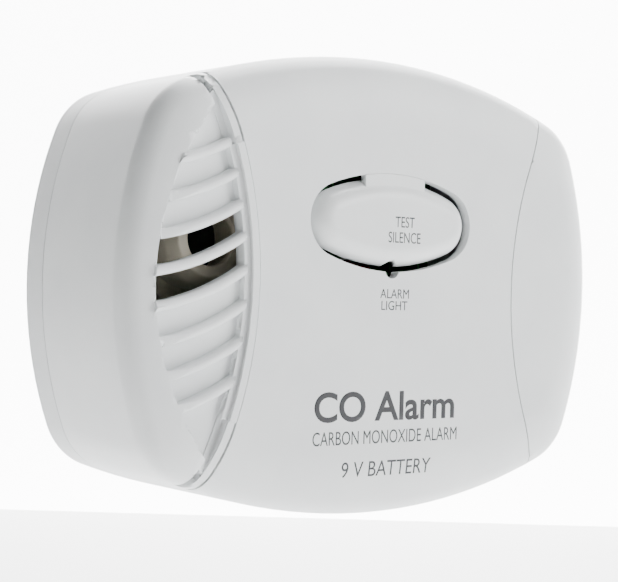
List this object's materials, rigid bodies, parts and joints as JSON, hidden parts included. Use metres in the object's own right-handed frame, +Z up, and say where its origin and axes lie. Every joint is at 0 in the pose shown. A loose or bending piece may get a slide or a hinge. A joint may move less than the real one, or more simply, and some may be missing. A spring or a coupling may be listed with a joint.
{
  "type": "carbon monoxide alarm",
  "caption": "Oval battery carbon monoxide alarm for a wall, with a lens-shaped slotted grille, an oval test button that presses in and a hinged battery door at its right end.",
  "frame": {"origin": "on the wall plane, at the centre of the rear cover's flat back", "axes": "+X to the right seen from the front, +Y into the wall, +Z up; the front faces -Y"},
  "size_m": [0.117, 0.0391, 0.0888],
  "materials": {
    "case_plastic": "white moulded ABS, satin",
    "rear_plastic": "white moulded ABS, satin",
    "button_plastic": "white moulded ABS, satin",
    "zinc_steel": "zinc plated steel",
    "black_plastic": "black moulded plastic",
    "red_plastic": "red moulded plastic",
    "board_laminate": "glass epoxy laminate with green solder mask",
    "led_epoxy": "dark red clear epoxy",
    "white_plastic": "natural white plastic",
    "tinned_metal": "tin or nickel plated",
    "horn_plastic": "beige moulded plastic",
    "brass": "plain brass",
    "ceramic": "silvered piezo ceramic",
    "stainless_steel": "drawn stainless steel",
    "copper_wire": "enamelled copper winding",
    "capacitor_sleeve": "dark blue shrink sleeve",
    "battery_jacket": "painted steel jacket",
    "red_insulation": "PVC wire insulation",
    "black_insulation": "PVC wire insulation",
    "label_film": "matt polyester film"
  },
  "bodies": {
    "alarm": {"front_cover": "case_plastic", "rear_cover": "rear_plastic", "door_hinge_pin": "zinc_steel", "switch_body": "black_plastic", "circuit_board": "board_laminate", "alarm_led": "led_epoxy", "led_spacer": "white_plastic", "led_lead_left": "tinned_metal", "led_lead_right": "tinned_metal", "horn_housing": "horn_plastic", "horn_disc": "brass", "horn_ceramic": "ceramic", "horn_contact_a": "brass", "horn_contact_b": "brass", "horn_contact_c": "brass", "sensor_can": "stainless_steel", "sensor_cap": "white_plastic", "sensor_pin_a": "brass", "sensor_pin_b": "brass", "sensor_pin_c": "brass", "controller_chip": "black_plastic", "controller_leads": "tinned_metal", "coil_core": "black_plastic", "coil_winding": "copper_wire", "capacitor_a": "capacitor_sleeve", "capacitor_b": "capacitor_sleeve", "transistor": "black_plastic", "transistor_leads": "tinned_metal", "resistor_a": "black_plastic", "resistor_b": "black_plastic", "resistor_c": "black_plastic", "battery_case": "battery_jacket", "battery_top": "black_plastic", "battery_base": "black_plastic", "battery_stud": "tinned_metal", "battery_socket": "tinned_metal", "snap_block": "black_plastic", "snap_socket": "tinned_metal", "snap_stud": "tinned_metal", "wire_red": "red_insulation", "wire_black": "black_insulation", "case_screw_a": "zinc_steel", "case_screw_b": "zinc_steel", "case_screw_c": "zinc_steel", "case_screw_d": "zinc_steel", "board_screw_a": "zinc_steel", "board_screw_b": "zinc_steel", "rating_label": "label_film"},
    "button": {"test_button": "button_plastic"},
    "plunger": {"switch_plunger": "red_plastic"},
    "door": {"battery_door": "case_plastic"}
  },
  "joints": [
    {"name": "test_button_press", "type": "hinge", "parent": "alarm", "child": "button", "pos_m": [0, -0.0369, 0.0224], "axis": [1, 0, 0], "range_deg": [0, 2.6], "stiffness_Nm_per_rad": 0.5},
    {"name": "switch_plunger_press", "type": "slide", "parent": "alarm", "child": "plunger", "axis": [0, 1, 0], "range_m": [0, 0.0006]},
    {"name": "battery_door_open", "type": "hinge", "parent": "alarm", "child": "door", "pos_m": [0.05682, -0.011, 0], "axis": [0, 0, 1], "range_deg": [0, 100]}
  ],
  "couplings": [
    {"joint": "switch_plunger_press", "follows": "test_button_press", "m_per_rad": 0.0128}
  ]
}
